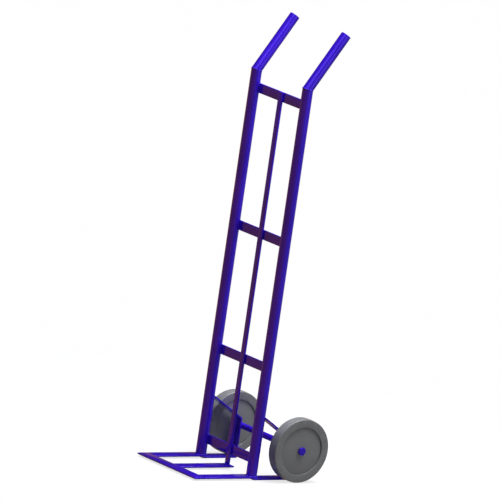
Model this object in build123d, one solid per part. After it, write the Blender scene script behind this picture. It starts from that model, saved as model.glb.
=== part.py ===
from build123d import *
from math import cos, radians, sin, tan
import os

# A two-wheeled hand truck. Sizes in millimetres, +Z up, +X towards the left hand of the
# person who holds the handles, -Y towards the load.
# The shapes are laid out from the rails: y = 0 is the plane through both rails' axes and
# z = 0 is the floor. The last step moves every piece so that the origin lies on the floor
# under the middle of the truck's footprint.

# ---- driving sizes -------------------------------------------------------------------

# upright rails and the handles mitred to their tops
rail_spacing = 270.0          # between the rails' axes
rail_od = 33.7
rail_wall = 2.0
bend_height = 1220.0          # floor to the point where a rail's and a handle's axes meet
handle_step = 0.5             # radially, from a rail's outside in to its handle's
handle_wall = 2.0
handle_length = 205.0         # along its axis, from the bend
handle_tilt = 34.0            # degrees back from upright
plug_length = 18.0            # how far a handle's end plug reaches in
plug_wall = 3.0
plug_edge = 1.0

# flat crossbars between the rails, and the strip that ties them together in front
crossbar_height = 30.0
crossbar_thickness = 5.0
crossbar_inset = 4.85         # crossbars' back faces, inside the rails' back
top_crossbar_drop = 55.0      # from the bend to the top crossbar's middle
upper_crossbar_level = 735.0  # floor to the crossbar's middle
lower_crossbar_level = 344.0
bottom_crossbar_rise = 49.0   # from the toe plate to the bottom crossbar's middle
strip_width = 20.0
strip_thickness = 6.0

# toe plate and axle brackets, all from one flat bar
flat_width = 40.0
flat_thickness = 5.0
toe_reach = 225.0             # toe plate's front edge, ahead of the rails' axes
foot_lead = 4.0               # foot straps' front ends, ahead of the rails' axes
bracket_depth = 124.0         # upright straps' back faces, behind the rails' axes
bracket_rise = 27.0           # bracket's top corner, above the axle's middle
stay_slope = 31.4             # degrees, rising forwards
stay_wrap = 4.0               # how far a stay's end reaches round its rail

# axle and wheels
axle_diameter = 20.0
wheel_diameter = 200.0
wheel_width = 36.0
tyre_depth = 25.5             # radially, from the tread to the disc
tyre_edge = 1.5
recess_depth = 4.0            # disc's faces, inside the tyre's
bead_width = 12.0             # ridge on the disc that holds the tyre
bead_depth = 4.0
bush_wall = 2.0
stop_ring_wall = 5.0          # radially, outwards from the axle, as the next three
inner_washer_wall = 7.0
outer_washer_wall = 2.0
cap_wall = 2.5
stop_ring_width = 3.4
washer_thickness = 2.0
cap_width = 6.0
cap_end_wall = 1.5
cap_edge = 0.8

# fits
bush_clearance = 0.05         # radial, between the bush and the axle
washer_clearance = 0.25       # radial, between a washer and the axle
side_gap = 0.6                # between a bracket and the stop ring
end_float = 0.3               # between a wheel's hub and each washer

# ---- sizes that follow ---------------------------------------------------------------

rail_r = rail_od / 2
handle_r = rail_r - handle_step
axle_r = axle_diameter / 2
wheel_r = wheel_diameter / 2
rail_x = rail_spacing / 2
toe_top = 2 * flat_thickness                  # the toe plate lies on the foot straps
crossbar_back = rail_r - crossbar_inset
crossbar_front = crossbar_back - crossbar_thickness
strip_front = crossbar_front - strip_thickness
bracket_edge = rail_x + flat_width / 2        # outer edges of toe plate and brackets
axle_y = bracket_depth + axle_r               # the axle lies against the upright straps
axle_z = wheel_r
bracket_top = axle_z + bracket_rise
crossbar_levels = {
    "top_crossbar": bend_height - top_crossbar_drop,
    "upper_crossbar": upper_crossbar_level,
    "lower_crossbar": lower_crossbar_level,
    "bottom_crossbar": toe_top + bottom_crossbar_rise,
}
strip_top = crossbar_levels["top_crossbar"] + crossbar_height / 2
# how much shorter a strap's inner face is than its outer face where stay and upright meet
corner_cut = flat_thickness * (1 - sin(radians(stay_slope))) / cos(radians(stay_slope))

# along the axle, outwards from the middle of the truck
hub_width = wheel_width - 2 * recess_depth
stop_ring_x = max(bracket_edge, rail_x + rail_r) + side_gap
inner_washer_x = stop_ring_x + stop_ring_width
hub_x = inner_washer_x + washer_thickness + end_float
wheel_x = hub_x - recess_depth
outer_washer_x = hub_x + hub_width + end_float
cap_x = outer_washer_x + washer_thickness
axle_end = cap_x + cap_width - cap_end_wall
stop_ring_r = axle_r + stop_ring_wall
inner_washer_r = axle_r + inner_washer_wall
outer_washer_r = axle_r + outer_washer_wall
cap_r = axle_r + cap_wall
disc_r = wheel_r - tyre_depth
bush_r = axle_r + bush_clearance + bush_wall

# middle of the footprint, between the toe plate's front edge and the wheels' backs
footprint_y = (axle_y + wheel_r - toe_reach) / 2


# ---- shapes --------------------------------------------------------------------------

def block(x, y, z):
    """A box given as three (low, high) pairs."""
    size = [high - low for low, high in (x, y, z)]
    middle = [(high + low) / 2 for low, high in (x, y, z)]
    return Pos(*middle) * Box(*size)


def rail_core(side):
    """The space a rail takes up, as a solid bar: what meets a rail is cut to fit it."""
    return Pos(side * rail_x, 0, bend_height / 2) * Cylinder(rail_r, bend_height)


def mitre_plane(side):
    half_tilt = radians(handle_tilt / 2)
    return Plane(
        origin=(side * rail_x, 0, bend_height),
        x_dir=(1, 0, 0),
        z_dir=(0, sin(half_tilt), cos(half_tilt)),
    )


def tube(outer_r, wall, length):
    """A tube that stands on z = 0."""
    bar = Cylinder(outer_r, length, align=(Align.CENTER, Align.CENTER, Align.MIN))
    bore = Cylinder(outer_r - wall, length, align=(Align.CENTER, Align.CENTER, Align.MIN))
    return bar - bore


def rail(side):
    """Upright tube from the toe plate to the mitre."""
    over_length = bend_height - toe_top + rail_od
    raw = Pos(side * rail_x, 0, toe_top) * tube(rail_r, rail_wall, over_length)
    return split(raw, bisect_by=mitre_plane(side), keep=Keep.BOTTOM)


def handle_frame(side):
    """Where a handle starts: on the bend, z along the handle."""
    return Pos(side * rail_x, 0, bend_height) * Rot(-handle_tilt, 0, 0)


def handle(side):
    """Tube tilted back from the mitre, open at its end."""
    raw = Pos(0, 0, -rail_od) * tube(handle_r, handle_wall, handle_length + rail_od)
    return split(handle_frame(side) * raw, bisect_by=mitre_plane(side), keep=Keep.TOP)


def handle_plug(side):
    """Cup pushed into a handle's end until its face is flush."""
    plug_r = handle_r - handle_wall
    body = Cylinder(plug_r, plug_length, align=(Align.CENTER, Align.CENTER, Align.MAX))
    body = chamfer(body.edges().sort_by(Axis.Z)[-1], plug_edge)
    hollow = Pos(0, 0, -plug_wall) * Cylinder(
        plug_r - plug_wall, plug_length, align=(Align.CENTER, Align.CENTER, Align.MAX)
    )
    return handle_frame(side) * Pos(0, 0, handle_length) * (body - hollow)


def crossbar(level):
    """Flat bar between the rails, its ends coped to the tubes."""
    bar = block(
        (-rail_x, rail_x),
        (crossbar_front, crossbar_back),
        (level - crossbar_height / 2, level + crossbar_height / 2),
    )
    return bar - rail_core(1) - rail_core(-1)


def centre_strip():
    """Upright strip on the crossbars' front faces, standing on the toe plate."""
    half_width = strip_width / 2
    return block((-half_width, half_width), (strip_front, crossbar_front), (toe_top, strip_top))


def toe_front_bar():
    return block(
        (-bracket_edge, bracket_edge),
        (-toe_reach, -toe_reach + flat_width),
        (flat_thickness, toe_top),
    )


def toe_finger(middle):
    """Flat bar from the front bar back under a rail, ending flush with the rails' back."""
    return block(
        (middle - flat_width / 2, middle + flat_width / 2),
        (-toe_reach + flat_width, rail_r),
        (flat_thickness, toe_top),
    )


def strap(side, outline):
    """A bracket strap: its side outline in (y, z), as wide as the flat bar."""
    face = make_face(Polyline(*outline, close=True))
    start = side * rail_x - flat_width / 2
    side_plane = Plane(origin=(start, 0, 0), x_dir=(0, 1, 0), z_dir=(1, 0, 0))
    return extrude(side_plane * face, flat_width)


def foot_strap(side):
    """Bottom run of a bracket, flat on the floor and mitred to the upright."""
    return strap(side, [
        (-foot_lead, 0),
        (bracket_depth, 0),
        (bracket_depth - flat_thickness, flat_thickness),
        (-foot_lead, flat_thickness),
    ])


def upright_strap(side):
    """Back run of a bracket, mitred at both ends. The axle lies against it."""
    return strap(side, [
        (bracket_depth, 0),
        (bracket_depth, bracket_top),
        (bracket_depth - flat_thickness, bracket_top - corner_cut),
        (bracket_depth - flat_thickness, flat_thickness),
    ])


def stay(side):
    """Sloping run from the upright's top to the back of the rail, coped round the tube."""
    end_y = rail_r - stay_wrap
    rise = (bracket_depth - end_y) * tan(radians(stay_slope))
    end_depth = flat_thickness / cos(radians(stay_slope))
    run = strap(side, [
        (bracket_depth, bracket_top),
        (end_y, bracket_top + rise),
        (end_y, bracket_top + rise - end_depth),
        (bracket_depth - flat_thickness, bracket_top - corner_cut),
    ])
    return run - rail_core(side)


def turned(outline):
    """A ring about the axle: outline points are (distance from the axle, x)."""
    face = make_face(Polyline(*outline, close=True))
    return revolve(Plane.XZ * face, Axis.Z)


def on_axle(side, shape):
    """Stand a turned shape, whose axis is Z, on the axle with +Z pointing outwards."""
    return Pos(0, axle_y, axle_z) * Rot(0, side * 90, 0) * shape


def ring(inner_r, outer_r, start, width):
    return turned([
        (inner_r, start),
        (outer_r, start),
        (outer_r, start + width),
        (inner_r, start + width),
    ])


def axle():
    return Pos(0, axle_y, axle_z) * Rot(0, 90, 0) * Cylinder(axle_r, 2 * axle_end)


def bead_edges(depth):
    """The four points of the ridge round the disc, or of the tyre's groove over it."""
    low = wheel_x + (wheel_width - bead_width) / 2
    high = low + bead_width
    return [
        (disc_r, low),
        (disc_r + depth, low + depth / 2),
        (disc_r + depth, high - depth / 2),
        (disc_r, high),
    ]


def tyre():
    """Solid rubber ring, grooved inside to sit over the disc's ridge."""
    profile = [
        (disc_r, wheel_x),
        (wheel_r, wheel_x),
        (wheel_r, wheel_x + wheel_width),
        (disc_r, wheel_x + wheel_width),
    ]
    solid = turned(profile + bead_edges(bead_depth)[::-1])
    circles = solid.edges().filter_by(GeomType.CIRCLE)
    rims = [edge for edge in circles if abs(edge.radius - wheel_r) < tyre_edge / 10]
    return fillet(rims, tyre_edge)


def wheel_disc():
    """Disc and hub in one, with a ridge round it and a bore for the bush."""
    profile = [
        (bush_r, hub_x),
        (disc_r, hub_x),
        *bead_edges(bead_depth),
        (disc_r, hub_x + hub_width),
        (bush_r, hub_x + hub_width),
    ]
    return turned(profile)


def axle_cap():
    """Cup pressed on the axle's end."""
    solid = turned([
        (0, cap_x + cap_width - cap_end_wall),
        (axle_r, cap_x + cap_width - cap_end_wall),
        (axle_r, cap_x),
        (cap_r, cap_x),
        (cap_r, cap_x + cap_width),
        (0, cap_x + cap_width),
    ])
    outer_rim = solid.edges().filter_by(GeomType.CIRCLE).sort_by(Axis.Z)[-1]
    return fillet(outer_rim, cap_edge)


# ---- pieces --------------------------------------------------------------------------

pieces = {
    "centre_strip": centre_strip(),
    "toe_front_bar": toe_front_bar(),
    "centre_toe_finger": toe_finger(0),
    "axle": axle(),
}

for name, level in crossbar_levels.items():
    pieces[name] = crossbar(level)

for hand, side in (("left", 1), ("right", -1)):
    pieces[hand + "_rail"] = rail(side)
    pieces[hand + "_handle"] = handle(side)
    pieces[hand + "_handle_plug"] = handle_plug(side)
    pieces[hand + "_toe_finger"] = toe_finger(side * rail_x)
    pieces[hand + "_foot_strap"] = foot_strap(side)
    pieces[hand + "_upright_strap"] = upright_strap(side)
    pieces[hand + "_stay"] = stay(side)
    turned_pieces = {
        "_stop_ring": ring(axle_r, stop_ring_r, stop_ring_x, stop_ring_width),
        "_inner_washer": ring(
            axle_r + washer_clearance, inner_washer_r, inner_washer_x, washer_thickness
        ),
        "_tyre": tyre(),
        "_wheel_disc": wheel_disc(),
        "_hub_bush": ring(axle_r + bush_clearance, bush_r, hub_x, hub_width),
        "_outer_washer": ring(
            axle_r + washer_clearance, outer_washer_r, outer_washer_x, washer_thickness
        ),
        "_axle_cap": axle_cap(),
    }
    for name, shape in turned_pieces.items():
        pieces[hand + name] = on_axle(side, shape)

os.makedirs("parts", exist_ok=True)
for name, shape in pieces.items():
    export_step(Pos(0, -footprint_y, 0) * shape, "parts/" + name + ".step")
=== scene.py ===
import bpy
import bmesh
from math import cos, pi, radians, sin, sqrt, tan
from mathutils import Matrix, Vector


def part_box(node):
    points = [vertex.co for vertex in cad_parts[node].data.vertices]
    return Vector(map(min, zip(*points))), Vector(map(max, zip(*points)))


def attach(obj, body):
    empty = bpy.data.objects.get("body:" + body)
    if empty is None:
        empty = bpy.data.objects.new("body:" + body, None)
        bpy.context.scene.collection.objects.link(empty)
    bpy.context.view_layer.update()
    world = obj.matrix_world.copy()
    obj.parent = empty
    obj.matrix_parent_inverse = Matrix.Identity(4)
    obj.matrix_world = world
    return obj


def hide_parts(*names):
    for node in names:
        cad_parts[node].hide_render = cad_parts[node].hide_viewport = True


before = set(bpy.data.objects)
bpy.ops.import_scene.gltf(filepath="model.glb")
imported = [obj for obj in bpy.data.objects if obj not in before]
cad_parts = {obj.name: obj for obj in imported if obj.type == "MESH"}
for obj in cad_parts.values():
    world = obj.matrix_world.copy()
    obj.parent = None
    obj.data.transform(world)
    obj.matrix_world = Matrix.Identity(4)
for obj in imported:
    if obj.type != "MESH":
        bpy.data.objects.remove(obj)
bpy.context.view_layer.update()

HANDS = (("left", 1), ("right", -1))
CROSSBARS = ("top_crossbar", "upper_crossbar", "lower_crossbar", "bottom_crossbar")

# ---- sizes that the frame's boxes don't hold, in metres ---------------------------------

HANDLE_TILT = radians(34)      # back from upright
TUBE_WALL = 0.002
TUBE_SIDES = 96
MOUTH_ROUNDING = 0.0005        # at a handle's open end
PLUG_RECESS = 0.0008           # plug's rim below the handle's end
PLUG_RIM = 0.0012
PLUG_SKIRT = 0.003             # width of the plug's inner end
PLUG_DISH = 0.0006             # foot of the plug's dome, below its rim
PLUG_DOME = 0.0011
BAR_EDGE = 0.0008              # rounding of rolled flat bar
BAR_STATIONS = (-1, -0.999, -0.5, 0, 0.5, 0.999, 1)   # rings of a crossbar, close at its ends
STRAP_EDGE = 0.0006
STAY_EASING = 0.3              # share of the edge, at a stay's sides
STAY_HEEL_DROP = 1.2           # share of the edge, at a stay's back end
EDGE_STEPS = 3
BEND_RADIUS = 0.0035           # outside of a strap's bend at the floor
LATHE_SIDES = 128
TREAD_CROWN = 0.0004           # middle of the tread above its shoulders
SEAM_RISE = 0.00015            # moulding line round the tread
SEAM_HALF_WIDTH = 0.0004
SHOULDER = 0.0022
LIP = 0.0010                   # rounding of the tyre's inner lip
RIDGE_DEPTH = 0.004            # disc's ridge, which the tyre's sides reach over
RIM_GROOVE = 0.0006            # between tyre and disc
GROOVE_EASING = 0.3            # share of the groove, where the disc's face turns into it
RIM_GAP = 0.0001
HUB_EDGE = 0.0003
AXLE_EDGE = 0.0008
STOP_RING_EDGE = 0.0006
WASHER_EDGE = 0.0003
WASHER_GAP = 0.00025           # round the axle
BUSH_EDGE = 0.0002
BUSH_GAP = 0.00005
CAP_EDGE = 0.0013
CAP_LIP = 0.0003               # rounding of the cap's inner rim
CAP_DOME = 0.0003
CAP_HOLLOW = 0.0005            # cap's inside, outward of its rim, at the axle's middle
CAP_SEAT = 0.0002              # and at the axle's edge
CAP_GAP = 0.0001
ON_AXIS = 1e-6                 # as good as zero, for a ring that closes to a point

WELD_RADIUS = 0.0015
MITRE_WELD_RADIUS = 0.0011
WELD_PITCH = 0.0013
RIPPLE_SHAPE = (0.85, 1.0, 1.0)
RIPPLE_SPREAD = (0.88, 1.10)   # smallest and largest ripple
RIPPLE_FACES = (8, 5)          # segments and rings
WELD_TRIM = 0.003              # a seam's weld stops this far from the bar's edges
SHORT_WELD_TRIM = 0.002        # the same, on the centre strip and the foot straps' sides
SEAM_WELD_LEAD = 0.004         # start of the side welds, ahead of the seam
FOOT_WELD_SIDES = 48
MITRE_WELD_SIDES = 64
AXLE_WELD_RISE = 0.55          # share of the axle's radius
AXLE_WELD_LIFT = 0.0006


def middle(node):
    low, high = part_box(node)
    return (low + high) / 2


def half_size(node):
    low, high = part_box(node)
    return (high - low) / 2


rail_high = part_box("left_rail")[1]
rail_r = half_size("left_rail").x
rail_x = middle("left_rail").x
rail_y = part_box("left_rail")[0].y + rail_r
handle_r = half_size("left_handle").x
mitre_slope = tan(HANDLE_TILT / 2)
bend_z = rail_high.z - rail_r * mitre_slope
handle_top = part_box("left_handle")[1].z
handle_length = (handle_top - bend_z - handle_r * sin(HANDLE_TILT)) / cos(HANDLE_TILT)
toe_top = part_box("toe_front_bar")[1].z
axle_y = middle("axle").y
axle_z = middle("axle").z
axle_r = half_size("axle").z


# ---- small mesh tools -------------------------------------------------------------------

def make_piece(name, bm, material, body, nodes=()):
    """Turn a bmesh into a finished piece that rides on a body and stands for CAD nodes."""
    bmesh.ops.remove_doubles(bm, verts=bm.verts, dist=1e-7)
    bmesh.ops.recalc_face_normals(bm, faces=bm.faces)
    mesh = bpy.data.meshes.new(name)
    bm.to_mesh(mesh)
    bm.free()
    piece = bpy.data.objects.new(name, mesh)
    bpy.context.scene.collection.objects.link(piece)
    finish_piece(piece, material, body, nodes)


def finish_piece(piece, material, body, nodes=(), crease=30):
    piece.data.materials.clear()
    piece.data.materials.append(material)
    piece.data.shade_smooth()
    piece.data.set_sharp_from_angle(angle=radians(crease))
    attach(piece, body)
    if nodes:
        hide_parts(*nodes)


def strip_of_rings(bm, rings, closed=False):
    """Join rings of equal count with quads."""
    rows = [[bm.verts.new(point) for point in ring] for ring in rings]
    if closed:
        rows.append(rows[0])
    count = len(rows[0])
    for low, high in zip(rows, rows[1:]):
        for i in range(count):
            k = (i + 1) % count
            bm.faces.new((low[i], low[k], high[k], high[i]))
    return rows


def circle_angles(sides):
    return [2 * pi * i / sides for i in range(sides)]


def arc(centre, radius, start, end, steps):
    """Points of an arc in a profile, angles in degrees."""
    return [
        (
            centre[0] + radius * cos(radians(start + (end - start) * i / steps)),
            centre[1] + radius * sin(radians(start + (end - start) * i / steps)),
        )
        for i in range(steps + 1)
    ]


def lathe(side, profile, bore=True):
    """Turn a profile of (distance from the axle, distance along it) round the axle.
    With no bore, the profile starts and ends on the axle's own line."""
    bm = bmesh.new()
    rings = []
    for radius, along in profile:
        reach = max(radius, ON_AXIS)
        rings.append([
            (side * along, axle_y + reach * cos(a), axle_z + reach * sin(a))
            for a in circle_angles(LATHE_SIDES)
        ])
    rows = strip_of_rings(bm, rings, closed=bore)
    if not bore:
        for row in (rows[0], rows[-1]):
            centre = sum((v.co for v in row), Vector()) / len(row)
            bmesh.ops.pointmerge(bm, verts=row, merge_co=centre)
    return bm


def round_edges(bm, radius, sharper_than=25):
    """Round every edge that turns by more than an angle in degrees."""
    bmesh.ops.recalc_face_normals(bm, faces=bm.faces)
    edges = [e for e in bm.edges if len(e.link_faces) == 2
             and e.calc_face_angle() > radians(sharper_than)]
    bmesh.ops.bevel(bm, geom=edges, offset=radius, offset_type="OFFSET", segments=EDGE_STEPS,
                    profile=0.5, affect="EDGES", clamp_overlap=True)


def bar_mesh(low, high, radius=BAR_EDGE):
    bm = bmesh.new()
    bmesh.ops.create_cube(bm, size=1)
    for v in bm.verts:
        v.co = Vector([low[i] if v.co[i] < 0 else high[i] for i in range(3)])
    round_edges(bm, radius)
    return bm


def side_outline_mesh(outline, x_low, x_high, radius=STRAP_EDGE):
    """A strap: its side outline in (y, z), run across in x."""
    bm = bmesh.new()
    near = [bm.verts.new((x_low, y, z)) for y, z in outline]
    far = [bm.verts.new((x_high, y, z)) for y, z in outline]
    bm.faces.new(near)
    bm.faces.new(far[::-1])
    for i in range(len(outline)):
        k = (i + 1) % len(outline)
        bm.faces.new((near[i], near[k], far[k], far[i]))
    round_edges(bm, radius, sharper_than=40)
    return bm


# ---- materials --------------------------------------------------------------------------

SHARP_EDGE = (0.995, 0.90)     # cosines between face and rounded normal: on a flat, on an edge
WORN_WIDTH = 0.0007            # of the paint rubbed lighter along edges


class Recipe:
    """A material's node tree, with one short call for each node."""

    def __init__(self, name, **shader_values):
        self.material = bpy.data.materials.new(name)
        self.material.use_nodes = True
        self.nodes = self.material.node_tree.nodes
        self.links = self.material.node_tree.links
        self.shader = self.nodes["Principled BSDF"]
        for socket, value in shader_values.items():
            self.shader.inputs[socket.replace("_", " ")].default_value = value
        self.place = self.nodes.new("ShaderNodeTexCoord").outputs["Object"]

    def node(self, kind, output=0, **inputs):
        made = self.nodes.new("ShaderNode" + kind)
        for key, value in inputs.items():
            self.fill(made.inputs[key.replace("_", " ")], value)
        return made.outputs[output]

    def fill(self, socket, value):
        if isinstance(value, bpy.types.NodeSocket):
            self.links.new(value, socket)
        else:
            socket.default_value = value

    def noise(self, scale, detail=2.0, roughness=0.5, place=None):
        made = self.node("TexNoise", Scale=scale, Detail=detail, Roughness=roughness)
        self.links.new(place or self.place, made.node.inputs["Vector"])
        return made

    def stretched(self, scale):
        """Object coordinates stretched along the axes."""
        made = self.node("Mapping", Vector=self.place)
        made.node.inputs["Scale"].default_value = scale
        return made

    def math(self, operation, a, b=0.0):
        made = self.nodes.new("ShaderNodeMath")
        made.operation = operation
        self.fill(made.inputs[0], a)
        self.fill(made.inputs[1], b)
        return made.outputs[0]

    def spread(self, value, low, high, to_low=0.0, to_high=1.0):
        made = self.nodes.new("ShaderNodeMapRange")
        limits = {"From Min": low, "From Max": high, "To Min": to_low, "To Max": to_high}
        for key, number in limits.items():
            made.inputs[key].default_value = number
        self.fill(made.inputs["Value"], value)
        return made.outputs[0]

    def blend_colours(self, share, first, second):
        made = self.nodes.new("ShaderNodeMix")
        made.data_type = "RGBA"
        self.fill(made.inputs[0], share)
        self.fill(made.inputs[6], first)
        self.fill(made.inputs[7], second)
        return made.outputs[2]

    def edge_share(self, radius):
        """1 on sharp edges, 0 on flats."""
        rounded = self.nodes.new("ShaderNodeBevel")
        rounded.samples = 4
        rounded.inputs["Radius"].default_value = radius
        flat = self.nodes.new("ShaderNodeNewGeometry")
        likeness = self.nodes.new("ShaderNodeVectorMath")
        likeness.operation = "DOT_PRODUCT"
        self.links.new(rounded.outputs[0], likeness.inputs[0])
        self.links.new(flat.outputs["Normal"], likeness.inputs[1])
        return self.spread(likeness.outputs["Value"], *SHARP_EDGE)

    def bumps(self, *layers):
        """Stack bump layers of (height, distance in metres)."""
        below = None
        for height, distance in layers:
            made = self.nodes.new("ShaderNodeBump")
            made.inputs["Strength"].default_value = 1.0
            made.inputs["Distance"].default_value = distance
            self.links.new(height, made.inputs["Height"])
            if below is not None:
                self.links.new(below, made.inputs["Normal"])
            below = made.outputs[0]
        self.links.new(below, self.shader.inputs["Normal"])

    def set(self, socket, value):
        self.links.new(value, self.shader.inputs[socket])


def gloss_frame_paint(name, edge_wear):
    """Blue-violet enamel: slow colour drift, orange peel, edges rubbed lighter."""
    paint = Recipe(name, Metallic=0.42, Coat_Weight=0.35, Coat_Roughness=0.05,
                   Specular_IOR_Level=0.25)
    drift = paint.noise(9.0, detail=3.0)
    cloud = paint.noise(55.0, detail=4.0, roughness=0.6)
    enamel = paint.blend_colours(paint.spread(drift, 0.35, 0.65),
                                 (0.044, 0.008, 0.640, 1), (0.060, 0.013, 0.760, 1))
    enamel = paint.blend_colours(paint.spread(cloud, 0.55, 0.8, 0.0, 0.14), enamel,
                                 (0.085, 0.030, 0.800, 1))
    if edge_wear:
        patches = paint.spread(paint.noise(120.0, detail=5.0, roughness=0.7), 0.48, 0.68, 0.0, 0.55)
        rubbed = paint.math("MULTIPLY", paint.edge_share(WORN_WIDTH), patches)
        enamel = paint.blend_colours(rubbed, enamel, (0.150, 0.100, 0.700, 1))
    paint.set("Base Color", enamel)
    paint.set("Roughness", paint.spread(cloud, 0.3, 0.7, 0.15, 0.24))
    paint.bumps((paint.noise(420.0, detail=2.0), 0.000012),
                (paint.noise(1900.0, detail=2.0), 0.000002))
    return paint.material


def grey_tyre_rubber():
    """Solid grey rubber: fine grain, scuffs on the tread."""
    rubber = Recipe("grey_tyre_rubber", Roughness=0.45, Specular_IOR_Level=0.4)
    cloud = rubber.noise(26.0, detail=4.0, roughness=0.6)
    grain = rubber.noise(1500.0, detail=3.0)
    tint = rubber.blend_colours(rubber.spread(cloud, 0.35, 0.68),
                                (0.204, 0.205, 0.205, 1), (0.234, 0.235, 0.234, 1))
    scuff = rubber.noise(70.0, detail=6.0, roughness=0.72, place=rubber.stretched((4.0, 1.0, 1.0)))
    scuff = rubber.spread(scuff, 0.62, 0.76, 0.0, 0.22)
    tint = rubber.blend_colours(scuff, tint, (0.260, 0.257, 0.252, 1))
    rubber.set("Base Color", tint)
    rubber.set("Roughness", rubber.spread(cloud, 0.3, 0.7, 0.20, 0.32))
    rubber.bumps((grain, 0.000010), (cloud, 0.00004))
    return rubber.material


def grey_disc_plastic():
    """Moulded grey plastic: slight sheen, flow marks and fine spark texture."""
    plastic = Recipe("grey_disc_plastic", Roughness=0.30, Specular_IOR_Level=0.5)
    flow = plastic.noise(14.0, detail=3.0, place=plastic.stretched((1.0, 1.0, 2.2)))
    spark = plastic.noise(1100.0, detail=2.0)
    plastic.set("Base Color", plastic.blend_colours(plastic.spread(flow, 0.35, 0.65),
                (0.213, 0.213, 0.212, 1), (0.233, 0.233, 0.232, 1)))
    plastic.set("Roughness", plastic.spread(flow, 0.3, 0.7, 0.12, 0.20))
    plastic.bumps((flow, 0.00004), (spark, 0.000006))
    return plastic.material


def black_plug_plastic():
    plug = Recipe("black_plug_plastic", Roughness=0.6)
    spark = plug.noise(1300.0, detail=2.0)
    cloud = plug.noise(120.0, detail=3.0)
    plug.set("Base Color", plug.blend_colours(cloud, (0.018, 0.018, 0.022, 1),
                                              (0.036, 0.036, 0.041, 1)))
    plug.set("Roughness", plug.spread(cloud, 0.3, 0.7, 0.5, 0.68))
    plug.bumps((spark, 0.000025))
    return plug.material


def zinc_plated_steel():
    """Bright zinc with fine turning marks round the axle."""
    zinc = Recipe("zinc_plated_steel", Metallic=1.0, Roughness=0.3)
    bloom = zinc.noise(240.0, detail=4.0)
    marks = zinc.noise(900.0, detail=2.0, place=zinc.stretched((3.0, 0.3, 0.3)))
    zinc.set("Base Color", zinc.blend_colours(bloom, (0.50, 0.51, 0.54, 1), (0.66, 0.67, 0.68, 1)))
    zinc.set("Roughness", zinc.spread(bloom, 0.3, 0.7, 0.24, 0.42))
    zinc.bumps((marks, 0.000010))
    return zinc.material


def oiled_bush_bronze():
    bronze = Recipe("oiled_bush_bronze", Metallic=1.0, Roughness=0.35)
    bloom = bronze.noise(300.0, detail=4.0)
    bronze.set("Base Color", bronze.blend_colours(bloom, (0.42, 0.25, 0.10, 1),
                                                  (0.60, 0.41, 0.18, 1)))
    bronze.set("Roughness", bronze.spread(bloom, 0.3, 0.7, 0.28, 0.46))
    bronze.bumps((bloom, 0.000012))
    return bronze.material


# ---- tubes ------------------------------------------------------------------------------

def tube_mesh(foot, head, outer_r):
    """A tube from its foot ring to its head ring, with inner wall and both end faces.
    foot and head give a ring's points for a radius, and head how far back it lies."""
    bm = bmesh.new()
    inner_r = outer_r - TUBE_WALL
    rings = [foot(outer_r), head(outer_r, MOUTH_ROUNDING), head(outer_r - MOUTH_ROUNDING, 0),
             head(inner_r, 0), foot(inner_r)]
    strip_of_rings(bm, rings, closed=True)
    return bm


def rail_piece(hand, side, paint):
    def foot(radius):
        return [(side * rail_x + radius * sin(a), rail_y + radius * cos(a), toe_top)
                for a in circle_angles(TUBE_SIDES)]

    def head(radius, back):
        return [(side * rail_x + radius * sin(a), rail_y + radius * cos(a),
                 bend_z - radius * cos(a) * mitre_slope - back)
                for a in circle_angles(TUBE_SIDES)]

    bm = tube_mesh(foot, head, rail_r)
    make_piece(hand + "_rail_tube", bm, paint, "frame", [hand + "_rail"])


def along_handle(side, distance, radius, angle):
    """A point of a handle: its distance from the bend, then round its own axis."""
    across = radius * cos(angle)
    return (
        side * rail_x + radius * sin(angle),
        rail_y + distance * sin(HANDLE_TILT) + across * cos(HANDLE_TILT),
        bend_z + distance * cos(HANDLE_TILT) - across * sin(HANDLE_TILT),
    )


def handle_piece(hand, side, paint):
    def foot(radius):
        return [along_handle(side, radius * cos(a) * mitre_slope, radius, a)
                for a in circle_angles(TUBE_SIDES)]

    def head(radius, back):
        return [along_handle(side, handle_length - back, radius, a)
                for a in circle_angles(TUBE_SIDES)]

    bm = tube_mesh(foot, head, handle_r)
    make_piece(hand + "_handle_tube", bm, paint, "frame", [hand + "_handle"])


def plug_piece(hand, side, plastic):
    """Push-in cup with a rounded rim and a low dome."""
    reach = half_size(hand + "_handle_plug")
    plug_r = handle_r - TUBE_WALL
    depth = (2 * reach.z - 2 * plug_r * sin(HANDLE_TILT)) / cos(HANDLE_TILT)
    dome_r = plug_r - 2 * PLUG_RIM
    profile = [(plug_r - PLUG_SKIRT, -depth), (plug_r, -depth), (plug_r, -PLUG_RECESS)]
    profile += [(plug_r - PLUG_RIM + r, -PLUG_RECESS + h)
                for r, h in arc((0, -PLUG_RIM * 0.5), PLUG_RIM * 0.5, 60, 150, 6)]
    profile += [(dome_r * cos(radians(t)), -PLUG_RECESS - PLUG_DISH + PLUG_DOME * sin(radians(t)))
                for t in range(0, 91, 10)]
    bm = bmesh.new()
    rings = [[along_handle(side, handle_length + along, max(radius, ON_AXIS), a)
              for a in circle_angles(TUBE_SIDES)] for radius, along in profile]
    rows = strip_of_rings(bm, rings)
    bm.faces.new(rows[0])
    tip = along_handle(side, handle_length + profile[-1][1], 0, 0)
    bmesh.ops.pointmerge(bm, verts=rows[-1], merge_co=tip)
    make_piece(hand + "_end_plug", bm, plastic, "frame", [hand + "_handle_plug"])


# ---- flat bars --------------------------------------------------------------------------

def reach_to_rail(y):
    """From the truck's middle to a rail's near side, at a depth y."""
    return rail_x - sqrt(rail_r ** 2 - (y - rail_y) ** 2)


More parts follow.
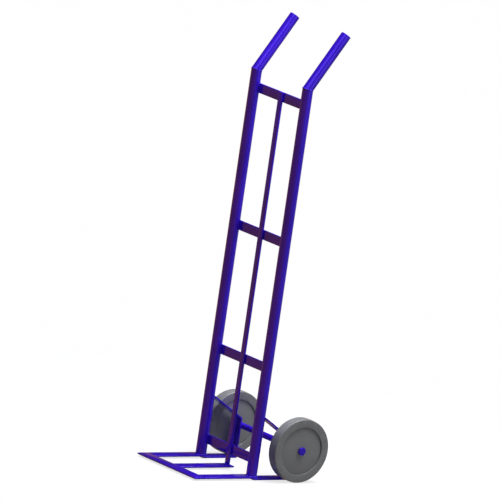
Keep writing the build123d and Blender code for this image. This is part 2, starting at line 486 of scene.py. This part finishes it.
def coped_crossbar(node, paint):
    """Flat bar whose ends are hollowed to sit round the rails."""
    low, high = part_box(node)
    edge = BAR_EDGE
    section = []
    for corner_y, corner_z, start in (
        (high.y - edge, high.z - edge, 0), (low.y + edge, high.z - edge, 90),
        (low.y + edge, low.z + edge, 180), (high.y - edge, low.z + edge, 270),
    ):
        section += arc((corner_y, corner_z), edge, start, start + 90, EDGE_STEPS + 1)
    bm = bmesh.new()
    rings = [[(share * reach_to_rail(y), y, z) for y, z in section]
             for share in BAR_STATIONS]
    rows = strip_of_rings(bm, rings)
    bm.faces.new(rows[0])
    bm.faces.new(rows[-1])
    make_piece(node + "_bar", bm, paint, "frame", [node])


def plain_bar(node, paint):
    low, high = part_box(node)
    make_piece(node + "_bar", bar_mesh(low, high), paint, "frame", [node])


def bracket_outlines(hand):
    """Side outlines of a bracket's foot and upright straps, in (y, z)."""
    foot_low, foot_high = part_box(hand + "_foot_strap")
    up_low, up_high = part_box(hand + "_upright_strap")
    thick = foot_high.z - foot_low.z
    heel = arc((foot_high.y - BEND_RADIUS, BEND_RADIUS), BEND_RADIUS, -90, -45, 4)
    rise = arc((foot_high.y - BEND_RADIUS, BEND_RADIUS), BEND_RADIUS, -45, 0, 4)
    foot = [(foot_low.y, 0)] + heel + [(foot_high.y - thick, thick), (foot_low.y, thick)]
    corner = (up_low.y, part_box(hand + "_stay")[0].z)
    upright = [(up_low.y, thick)] + rise + [(up_high.y, up_high.z), corner]
    return foot, upright


def bracket_pieces(hand, paint):
    foot, upright = bracket_outlines(hand)
    low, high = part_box(hand + "_foot_strap")
    for part, outline in (("_foot_strap", foot), ("_upright_strap", upright)):
        bm = side_outline_mesh(outline, low.x, high.x)
        make_piece(hand + part + "_bar", bm, paint, "frame", [hand + part])


def stay_piece(hand, paint):
    """Sloping strap, its front end hollowed to sit round the rail."""
    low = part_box(hand + "_stay")[0]
    up_low, up_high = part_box(hand + "_upright_strap")
    outer_back = Vector((up_high.y, up_high.z))
    inner_back = Vector((up_low.y, low.z))
    slope = stay_fall(hand)
    edge = STRAP_EDGE
    half_width = half_size(hand + "_stay").x
    centre_x = middle(hand + "_stay").x
    across_steps = 24
    eased = edge * STAY_EASING
    xs = [-half_width, -half_width + eased, -half_width + edge]
    xs += [(-1 + 2 * i / across_steps) * (half_width - edge) for i in range(1, across_steps)]
    xs += [half_width - edge, half_width - eased, half_width]
    bm = bmesh.new()
    rows = []
    for x in xs:
        inset = max(0.0, abs(x) - (half_width - edge))
        drop = edge - sqrt(max(0.0, edge ** 2 - inset ** 2))
        reach = sqrt(rail_r ** 2 - x ** 2) if abs(x) < rail_r else 0.0
        front = max(rail_y + reach, low.y)
        row = [
            (outer_back.x, outer_back.y - drop * STAY_HEEL_DROP),
            (front, outer_back.y + (outer_back.x - front) * slope - drop),
            (front, inner_back.y + (inner_back.x - front) * slope + drop),
            (inner_back.x, inner_back.y + drop),
        ]
        rows.append([bm.verts.new((centre_x + x, y, z)) for y, z in row])
    for left, right in zip(rows, rows[1:]):
        for i in range(4):
            k = (i + 1) % 4
            bm.faces.new((left[i], left[k], right[k], right[i]))
    bm.faces.new(rows[0])
    bm.faces.new(rows[-1])
    make_piece(hand + "_stay_bar", bm, paint, "frame", [hand + "_stay"])


def stay_fall(hand):
    """How much a stay drops for each metre back from the rail."""
    low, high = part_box(hand + "_stay")
    up_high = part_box(hand + "_upright_strap")[1]
    return (high.z - up_high.z) / (up_high.y - low.y)


# ---- axle and wheels --------------------------------------------------------------------

def axle_piece(paint):
    end = half_size("axle").x
    edge = AXLE_EDGE
    bm = bmesh.new()
    profile = [(axle_r - edge, -end), (axle_r, -end + edge), (axle_r, 0), (axle_r, end - edge),
               (axle_r - edge, end)]
    rings = [[(along, axle_y + r * cos(a), axle_z + r * sin(a))
              for a in circle_angles(TUBE_SIDES)] for r, along in profile]
    rows = strip_of_rings(bm, rings)
    bm.faces.new(rows[0])
    bm.faces.new(rows[-1])
    make_piece("axle_bar", bm, paint, "frame", ["axle"])


def span_along(node):
    """Where a turned node starts and ends along the axle, counted outwards from the middle."""
    low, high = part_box(node)
    return min(abs(low.x), abs(high.x)), max(abs(low.x), abs(high.x))


def rounded_ring_profile(inner_r, outer_r, start, end, edge):
    """Square ring with its two outer corners rounded and its bore eased."""
    return (
        [(inner_r + edge / 2, start)]
        + arc((outer_r - edge, start + edge), edge, -90, 0, 4)
        + arc((outer_r - edge, end - edge), edge, 0, 90, 4)
        + [(inner_r + edge / 2, end), (inner_r, end - edge / 2), (inner_r, start + edge / 2)]
    )


def ring_piece(hand, side, part, bore_r, edge, material, body):
    node = hand + part
    start, end = span_along(node)
    profile = rounded_ring_profile(bore_r, half_size(node).z, start, end, edge)
    make_piece(node + "_turned", lathe(side, profile), material, body, [node])


def tyre_piece(hand, side, rubber):
    node = hand + "_tyre"
    start, end = span_along(node)
    centre = (start + end) / 2
    tread_r = half_size(node).z
    seat_r = half_size(hand + "_wheel_disc").z
    low_r = tread_r - SEAM_RISE
    shoulder_r = low_r - TREAD_CROWN
    half = (end - start) / 2
    inner_r = seat_r - RIDGE_DEPTH
    steps = 6
    tread = [(low_r - TREAD_CROWN * (t / steps) ** 2, centre + (half - SHOULDER) * t / steps)
             for t in range(-steps, steps + 1)]
    seam = [(low_r, centre - SEAM_HALF_WIDTH), (tread_r, centre),
            (low_r, centre + SEAM_HALF_WIDTH)]
    tread = tread[:steps] + seam + tread[steps + 1:]
    profile = (
        [(inner_r, start + LIP)]
        + arc((inner_r + LIP, start + LIP), LIP, 180, 270, 5)
        + arc((shoulder_r - SHOULDER, start + SHOULDER), SHOULDER, -90, 0, 7)
        + tread
        + arc((shoulder_r - SHOULDER, end - SHOULDER), SHOULDER, 0, 90, 7)
        + arc((inner_r + LIP, end - LIP), LIP, 90, 180, 5)
    )
    make_piece(node + "_ring", lathe(side, profile), rubber, hand + "_wheel", [node])


def disc_piece(hand, side, plastic):
    """Flat web with a shallow groove round its rim where the tyre starts."""
    node = hand + "_wheel_disc"
    start, end = span_along(node)
    bore_r = half_size(hand + "_hub_bush").z
    rim_r = half_size(node).z - RIDGE_DEPTH
    groove = RIM_GROOVE
    outer_face = [
        (bore_r, end - HUB_EDGE), (bore_r + HUB_EDGE, end), (rim_r - 3 * groove, end),
        (rim_r - 2 * groove, end - GROOVE_EASING * groove), (rim_r - groove, end - groove),
    ]
    inner_face = [(r, start + end - x) for r, x in reversed(outer_face)]
    rim = [(rim_r - RIM_GAP, end - groove), (rim_r - RIM_GAP, start + groove)]
    make_piece(node + "_web", lathe(side, outer_face + rim + inner_face), plastic,
               hand + "_wheel", [node])


def cap_piece(hand, side, paint):
    """Pressed-on cup: rounded rim and a barely domed end."""
    node = hand + "_axle_cap"
    start, end = span_along(node)
    cap_r = half_size(node).z
    edge = CAP_EDGE
    shoulder = end - CAP_DOME
    steps = 6
    profile = [(ON_AXIS, start + CAP_HOLLOW), (axle_r + CAP_GAP, start + CAP_SEAT),
               (cap_r - CAP_LIP, start), (cap_r, start + CAP_LIP)]
    profile += arc((cap_r - edge, shoulder - edge), edge, 0, 85, steps)
    profile += [((cap_r - edge) * (1 - t / steps), shoulder + CAP_DOME * sin(pi / 2 * t / steps))
                for t in range(1, steps + 1)]
    make_piece(node + "_cup", lathe(side, profile, bore=False), paint, "frame",
               [node])


# ---- welds ------------------------------------------------------------------------------

def polyline(bm, points, closed=False):
    verts = [bm.verts.new(p) for p in points]
    for a, b in zip(verts, verts[1:]):
        bm.edges.new((a, b))
    if closed:
        bm.edges.new((verts[-1], verts[0]))


def crossbar_weld_lines(bm):
    """Round both ends of each crossbar."""
    steps = 6
    for node in CROSSBARS:
        low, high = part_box(node)
        depths = [low.y + (high.y - low.y) * i / steps for i in range(steps + 1)]
        loop = [(y, high.z) for y in depths] + [(y, low.z) for y in reversed(depths)]
        for _, side in HANDS:
            polyline(bm, [(side * reach_to_rail(y), y, z) for y, z in loop], closed=True)


def strip_weld_lines(bm):
    """Behind the centre strip, over and under each crossbar, and across its foot."""
    low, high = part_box("centre_strip")
    for node in CROSSBARS:
        bar_low, bar_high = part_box(node)
        for level in (bar_low.z, bar_high.z):
            if level < high.z - BAR_EDGE:
                polyline(bm, [(low.x + SHORT_WELD_TRIM, high.y, level),
                              (high.x - SHORT_WELD_TRIM, high.y, level)])
    polyline(bm, [(low.x, low.y, toe_top), (high.x, low.y, toe_top)])
    polyline(bm, [(low.x, high.y, toe_top), (high.x, high.y, toe_top)])


def toe_weld_lines(bm):
    """Round the rails' feet, and across the seams between fingers, front bar and foot straps."""
    for hand, side in HANDS:
        polyline(bm, [
            (side * rail_x + rail_r * sin(a), rail_y + rail_r * cos(a), toe_top)
            for a in circle_angles(FOOT_WELD_SIDES)
        ], closed=True)
        foot_low, foot_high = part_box(hand + "_foot_strap")
        finger_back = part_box(hand + "_toe_finger")[1].y
        top = foot_high.z
        polyline(bm, [(foot_low.x + WELD_TRIM, finger_back, top),
                      (foot_high.x - WELD_TRIM, finger_back, top)])
        for x in (foot_low.x, foot_high.x):
            polyline(bm, [(x, finger_back - SEAM_WELD_LEAD, top),
                          (x, foot_low.y + SHORT_WELD_TRIM, top)])


def bracket_weld_lines(bm):
    """Along the axle where it lies on the upright straps, and where the stays meet the rails."""
    for hand, side in HANDS:
        up_low, up_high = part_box(hand + "_upright_strap")
        back = up_high.y + AXLE_WELD_LIFT
        for level in (axle_z + axle_r * AXLE_WELD_RISE, axle_z - axle_r * AXLE_WELD_RISE):
            polyline(bm, [(up_low.x + WELD_TRIM, back, level),
                          (up_high.x - WELD_TRIM, back, level)])
        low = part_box(hand + "_stay")[0]
        slope = stay_fall(hand)
        lower_start = low.z + (up_low.y - rail_y) * slope
        for start_z in (up_high.z + (up_high.y - rail_y) * slope, lower_start):
            points = []
            reach_x = sqrt(rail_r ** 2 - (low.y - rail_y) ** 2)
            steps = 16
            for i in range(steps + 1):
                x = reach_x * (-1 + 2 * i / steps)
                y = rail_y + sqrt(rail_r ** 2 - x ** 2)
                points.append((side * rail_x + x, y, start_z - (y - rail_y) * slope))
            polyline(bm, points)


def mitre_weld_lines(bm):
    """Round the mitres between rails and handles."""
    for _, side in HANDS:
        polyline(bm, [
            (side * rail_x + rail_r * sin(a), rail_y + rail_r * cos(a),
             bend_z - rail_r * cos(a) * mitre_slope) for a in circle_angles(MITRE_WELD_SIDES)
        ], closed=True)


def weld_tree(name, material, bead_r, pitch, seed):
    """Geometry nodes: overlapping ripples laid along each weld line."""
    tree = bpy.data.node_groups.new(name, "GeometryNodeTree")
    face = tree.interface
    face.new_socket("Lines", in_out="INPUT", socket_type="NodeSocketGeometry")
    inputs = {}
    for label, kind, value in (("Bead Radius", "NodeSocketFloat", bead_r),
                               ("Ripple Pitch", "NodeSocketFloat", pitch),
                               ("Seed", "NodeSocketInt", seed)):
        made = face.new_socket(label, in_out="INPUT", socket_type=kind)
        made.default_value = value
        inputs[label] = made.identifier
    face.new_socket("Beads", in_out="OUTPUT", socket_type="NodeSocketGeometry")
    nodes, links = tree.nodes, tree.links
    start = nodes.new("NodeGroupInput")
    end = nodes.new("NodeGroupOutput")
    line = nodes.new("GeometryNodeMeshToCurve")
    spaced = nodes.new("GeometryNodeResampleCurve")
    spaced.mode = "LENGTH"
    heading = nodes.new("GeometryNodeInputTangent")
    turn = nodes.new("FunctionNodeAlignRotationToVector")
    turn.axis = "X"
    ripple = nodes.new("GeometryNodeMeshUVSphere")
    ripple.inputs["Segments"].default_value = RIPPLE_FACES[0]
    ripple.inputs["Rings"].default_value = RIPPLE_FACES[1]
    ripple.inputs["Radius"].default_value = 1.0
    vary = nodes.new("FunctionNodeRandomValue")
    vary.data_type = "FLOAT"
    vary.inputs[2].default_value = RIPPLE_SPREAD[0]
    vary.inputs[3].default_value = RIPPLE_SPREAD[1]
    size = nodes.new("ShaderNodeMath")
    size.operation = "MULTIPLY"
    shape = nodes.new("ShaderNodeVectorMath")
    shape.operation = "SCALE"
    shape.inputs[0].default_value = RIPPLE_SHAPE
    place = nodes.new("GeometryNodeInstanceOnPoints")
    real = nodes.new("GeometryNodeRealizeInstances")
    paint = nodes.new("GeometryNodeSetMaterial")
    paint.inputs["Material"].default_value = material
    links.new(start.outputs["Lines"], line.inputs["Mesh"])
    links.new(line.outputs["Curve"], spaced.inputs["Curve"])
    links.new(start.outputs["Ripple Pitch"], spaced.inputs["Length"])
    links.new(heading.outputs[0], turn.inputs["Vector"])
    links.new(start.outputs["Seed"], vary.inputs["Seed"])
    links.new(start.outputs["Bead Radius"], size.inputs[0])
    links.new(vary.outputs[1], size.inputs[1])
    links.new(size.outputs[0], shape.inputs["Scale"])
    links.new(spaced.outputs["Curve"], place.inputs["Points"])
    links.new(ripple.outputs["Mesh"], place.inputs["Instance"])
    links.new(turn.outputs[0], place.inputs["Rotation"])
    links.new(shape.outputs[0], place.inputs["Scale"])
    links.new(place.outputs[0], real.inputs[0])
    links.new(real.outputs[0], paint.inputs["Geometry"])
    links.new(paint.outputs[0], end.inputs["Beads"])
    return tree, inputs


def weld_piece(name, draw_lines, paint, bead_r, seed):
    """Run the weld tree along its lines, and keep the plain mesh."""
    bm = bmesh.new()
    for draw in draw_lines:
        draw(bm)
    lines = bpy.data.meshes.new(name + "_lines")
    bm.to_mesh(lines)
    bm.free()
    source = bpy.data.objects.new(name + "_lines", lines)
    bpy.context.scene.collection.objects.link(source)
    tree, inputs = weld_tree(name + "_tree", paint, bead_r, WELD_PITCH, seed)
    modifier = source.modifiers.new("beads", "NODES")
    modifier.node_group = tree
    modifier[inputs["Bead Radius"]] = bead_r
    modifier[inputs["Ripple Pitch"]] = WELD_PITCH
    modifier[inputs["Seed"]] = seed
    bpy.context.view_layer.update()
    evaluated = source.evaluated_get(bpy.context.evaluated_depsgraph_get())
    mesh = bpy.data.meshes.new_from_object(evaluated)
    mesh.name = name
    bpy.data.objects.remove(source)
    piece = bpy.data.objects.new(name, mesh)
    bpy.context.scene.collection.objects.link(piece)
    finish_piece(piece, paint, "frame", crease=180)


# ---- stage, light and camera ------------------------------------------------------------

FLOOR_RADIUS = 12.0
FLOOR_FADE = (0.6, 1.6)        # distances where the floor starts to thin out and is gone
FLOOR_COVER = 0.25             # how much of the floor shows under the truck
FLOOR_DROP = 0.0005            # below the truck
FLOOR_SIDES = 96
BACKDROP = (0.995, 0.995, 0.995, 1)
CAMERA_AZIMUTH = radians(53.0)
CAMERA_ELEVATION = radians(10.98)
CAMERA_ROLL = radians(8.3)
CAMERA_DISTANCE = 40.0
CAMERA_SENSOR = 36             # width, in millimetres
CAMERA_CLIP = (0.5, 100)
FRAME_HEIGHT = 1.524           # of the view, at the truck
CAMERA_TARGET = Vector((0.0009, -0.0328, 0.6855))


def pale_floor():
    """Pale matt disc that fades out at a distance and shows in no reflection."""
    bm = bmesh.new()
    bmesh.ops.create_circle(bm, cap_ends=True, radius=FLOOR_RADIUS, segments=FLOOR_SIDES)
    mesh = bpy.data.meshes.new("pale_floor")
    bm.to_mesh(mesh)
    bm.free()
    floor = bpy.data.objects.new("pale_floor", mesh)
    bpy.context.scene.collection.objects.link(floor)
    floor.location.z = -FLOOR_DROP
    pale = Recipe("pale_floor", Base_Color=(0.86, 0.86, 0.87, 1), Roughness=0.9,
                  Specular_IOR_Level=0.1)
    pale.bumps((pale.noise(90.0, detail=3.0), 0.00005))
    length = pale.nodes.new("ShaderNodeVectorMath")
    length.operation = "LENGTH"
    pale.links.new(pale.place, length.inputs[0])
    solid = pale.spread(length.outputs["Value"], *FLOOR_FADE, FLOOR_COVER, 0.0)
    pale.set("Alpha", solid)
    floor.data.materials.append(pale.material)
    floor.visible_glossy = False


def softbox(name, position, target, size, power, colour):
    """Rectangular area light aimed at a point, unseen by the camera."""
    lamp = bpy.data.lights.new(name, "AREA")
    lamp.shape = "RECTANGLE"
    lamp.size, lamp.size_y = size
    lamp.energy = power
    lamp.color = colour
    box = bpy.data.objects.new(name, lamp)
    bpy.context.scene.collection.objects.link(box)
    box.location = position
    box.rotation_euler = (Vector(target) - Vector(position)).to_track_quat("-Z", "Y").to_euler()
    box.visible_camera = False
    return box


def studio_light():
    """A strong light overhead, a weak one on the left and one in front for gloss only."""
    centre = (0, 0, 0.6)
    softbox("overhead_softbox", (0.3, 0.6, 3.4), centre, (2.6, 2.6), 225, (0.94, 0.97, 1.0))
    softbox("left_softbox", (3.4, 0.9, 1.7), centre, (0.9, 2.6), 7, (0.95, 0.97, 1.0))
    gleam = softbox("front_gleam_softbox", (1.02, -2.85, 3.25), (0, 0, 1.3), (5.0, 1.6), 26,
                    (0.96, 0.95, 1.0))
    gleam.visible_diffuse = False


ROOM_TURN = radians(143)       # middle of the pale walls, from the load side round past the left
PALE_WALL = (0.26, 0.26, 0.27, 1)
DARK_WALL_LOW = (0.600, 0.230, 0.020, 1)
DARK_WALL_HIGH = (0.035, 0.022, 0.050, 1)
DARK_WALL_SPREAD = (0.070, 0.065, 0.085, 1)   # what rays scattered by matt surfaces meet there
ROOM_FLOOR = (0.10, 0.10, 0.11, 1)
WALL_BLEND = (0.30, 0.38)      # from dark to pale: share of a ray's heading along ROOM_TURN
HEIGHT_BLEND = (-0.04, 0.10)   # from the low colour to the high one: the ray's rise
FLOOR_BLEND = (-0.55, -0.35)   # from the floor to the walls: the ray's rise


def studio_world():
    """White behind the truck. For its light and reflections, a room with pale walls on the
    left and behind, dark warm walls on the load side, and a dark floor."""
    world = bpy.data.worlds.new("studio_world")
    bpy.context.scene.world = world
    world.use_nodes = True
    nodes, links = world.node_tree.nodes, world.node_tree.links
    nodes.clear()

    def sided(direction, start, end):
        """0 to 1 as a ray's heading along a direction goes from start to end."""
        across = nodes.new("ShaderNodeVectorMath")
        across.operation = "DOT_PRODUCT"
        across.inputs[1].default_value = direction
        links.new(heading.outputs["Generated"], across.inputs[0])
        share = nodes.new("ShaderNodeMapRange")
        share.interpolation_type = "SMOOTHSTEP"
        share.inputs["From Min"].default_value = start
        share.inputs["From Max"].default_value = end
        links.new(across.outputs["Value"], share.inputs["Value"])
        return share.outputs[0]

    def blended(share, first, second):
        mix = nodes.new("ShaderNodeMix")
        mix.data_type = "RGBA"
        links.new(share, mix.inputs[0])
        for socket, colour in ((mix.inputs[6], first), (mix.inputs[7], second)):
            if isinstance(colour, bpy.types.NodeSocket):
                links.new(colour, socket)
            else:
                socket.default_value = colour
        return mix.outputs[2]

    heading = nodes.new("ShaderNodeTexCoord")
    pale_side = sided((sin(ROOM_TURN), -cos(ROOM_TURN), 0), *WALL_BLEND)
    dark_walls = blended(sided((0, 0, 1), *HEIGHT_BLEND), DARK_WALL_LOW, DARK_WALL_HIGH)
    path = nodes.new("ShaderNodeLightPath")
    dark_walls = blended(path.outputs["Is Diffuse Ray"], dark_walls, DARK_WALL_SPREAD)
    walls = blended(pale_side, dark_walls, PALE_WALL)
    above = sided((0, 0, 1), *FLOOR_BLEND)
    room = nodes.new("ShaderNodeBackground")
    links.new(blended(above, ROOM_FLOOR, walls), room.inputs["Color"])
    seen = nodes.new("ShaderNodeBackground")
    seen.inputs["Color"].default_value = BACKDROP
    pick = nodes.new("ShaderNodeMixShader")
    out = nodes.new("ShaderNodeOutputWorld")
    links.new(path.outputs["Is Camera Ray"], pick.inputs[0])
    links.new(room.outputs[0], pick.inputs[1])
    links.new(seen.outputs[0], pick.inputs[2])
    links.new(pick.outputs[0], out.inputs[0])


def studio_camera():
    """Long lens from ahead and to the left, slightly raised and rolled."""
    sin_a, cos_a = sin(CAMERA_AZIMUTH), cos(CAMERA_AZIMUTH)
    sin_e, cos_e = sin(CAMERA_ELEVATION), cos(CAMERA_ELEVATION)
    back = Vector((sin_a * cos_e, -cos_a * cos_e, sin_e))
    right = Vector((cos_a, sin_a, 0))
    up = Vector((-sin_e * sin_a, sin_e * cos_a, cos_e))
    across = cos(CAMERA_ROLL) * right + sin(CAMERA_ROLL) * up
    rise = -sin(CAMERA_ROLL) * right + cos(CAMERA_ROLL) * up
    lens = bpy.data.cameras.new("studio_camera")
    lens.sensor_width = CAMERA_SENSOR
    lens.lens = CAMERA_SENSOR * CAMERA_DISTANCE / FRAME_HEIGHT
    lens.clip_start, lens.clip_end = CAMERA_CLIP
    camera = bpy.data.objects.new("studio_camera", lens)
    bpy.context.scene.collection.objects.link(camera)
    turn = Matrix((across, rise, back)).transposed().to_4x4()
    camera.matrix_world = Matrix.Translation(CAMERA_TARGET + back * CAMERA_DISTANCE) @ turn
    bpy.context.scene.camera = camera


# ---- build ------------------------------------------------------------------------------

paint = gloss_frame_paint("gloss_frame_paint", edge_wear=True)
weld_paint = gloss_frame_paint("gloss_weld_paint", edge_wear=False)
rubber = grey_tyre_rubber()
disc_plastic = grey_disc_plastic()
plug_plastic = black_plug_plastic()
zinc = zinc_plated_steel()
bronze = oiled_bush_bronze()

for hand, side in HANDS:
    rail_piece(hand, side, paint)
    handle_piece(hand, side, paint)
    plug_piece(hand, side, plug_plastic)
    bracket_pieces(hand, paint)
    stay_piece(hand, paint)
    ring_piece(hand, side, "_stop_ring", axle_r, STOP_RING_EDGE, zinc, "frame")
    for part in ("_inner_washer", "_outer_washer"):
        ring_piece(hand, side, part, axle_r + WASHER_GAP, WASHER_EDGE, zinc, "frame")
    ring_piece(hand, side, "_hub_bush", axle_r + BUSH_GAP, BUSH_EDGE, bronze,
               hand + "_wheel")
    tyre_piece(hand, side, rubber)
    disc_piece(hand, side, disc_plastic)
    cap_piece(hand, side, paint)

for node in CROSSBARS:
    coped_crossbar(node, paint)
for node in ("centre_strip", "toe_front_bar", "left_toe_finger", "centre_toe_finger",
             "right_toe_finger"):
    plain_bar(node, paint)
axle_piece(paint)

weld_piece("frame_welds",
           [crossbar_weld_lines, strip_weld_lines, toe_weld_lines, bracket_weld_lines],
           weld_paint, WELD_RADIUS, seed=7)
weld_piece("mitre_welds", [mitre_weld_lines], weld_paint, MITRE_WELD_RADIUS, seed=11)

pale_floor()
studio_light()
studio_world()
studio_camera()
bpy.context.scene.view_settings.view_transform = "Standard"
